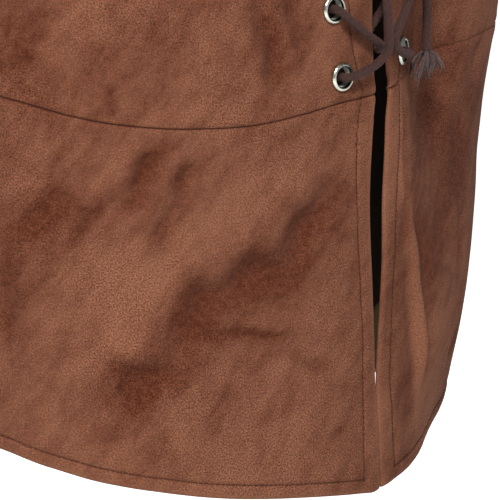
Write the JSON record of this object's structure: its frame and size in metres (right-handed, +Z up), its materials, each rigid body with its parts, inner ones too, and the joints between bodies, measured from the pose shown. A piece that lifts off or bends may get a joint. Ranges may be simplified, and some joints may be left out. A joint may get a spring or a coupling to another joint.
{
  "type": "laced waistcoat",
  "caption": "Sleeveless suede-look waistcoat with a V neck, a lace-up front and a waist-seamed peplum, kept in its worn, hollow form.",
  "frame": {"origin": "midway between the two points where the neck meets the shoulder seams, where a wearer's shoulders hold it", "axes": "+Z up, the front faces -Y, +X is the wearer's left"},
  "size_m": [0.3838, 0.284, 0.6644],
  "materials": {
    "suede": "napped suede cloth, mottled warm brown, matte with a faint sheen at grazing angles",
    "eyelet_metal": "bright nickel plate, slightly brushed",
    "lace_cord": "round braided cord, dark purple-brown, frayed at its ends"
  },
  "bodies": {
    "root": {"front_right": "suede", "front_left": "suede", "back": "suede", "peplum_front_right": "suede", "peplum_front_left": "suede", "peplum_back": "suede", "eyelet_right_1": "eyelet_metal", "eyelet_right_2": "eyelet_metal", "eyelet_right_3": "eyelet_metal", "eyelet_right_4": "eyelet_metal", "eyelet_right_5": "eyelet_metal", "eyelet_right_6": "eyelet_metal", "eyelet_left_1": "eyelet_metal", "eyelet_left_2": "eyelet_metal", "eyelet_left_3": "eyelet_metal", "eyelet_left_4": "eyelet_metal", "eyelet_left_5": "eyelet_metal", "eyelet_left_6": "eyelet_metal", "lacing": "lace_cord", "lace_end_right": "lace_cord", "lace_end_left": "lace_cord", "bow_knot": "lace_cord", "bow_loop_right": "lace_cord", "bow_loop_left": "lace_cord", "lace_tail_right": "lace_cord", "lace_tail_left": "lace_cord", "tassel_left": "lace_cord", "tassel_right": "lace_cord"}
  },
  "joints": []
}
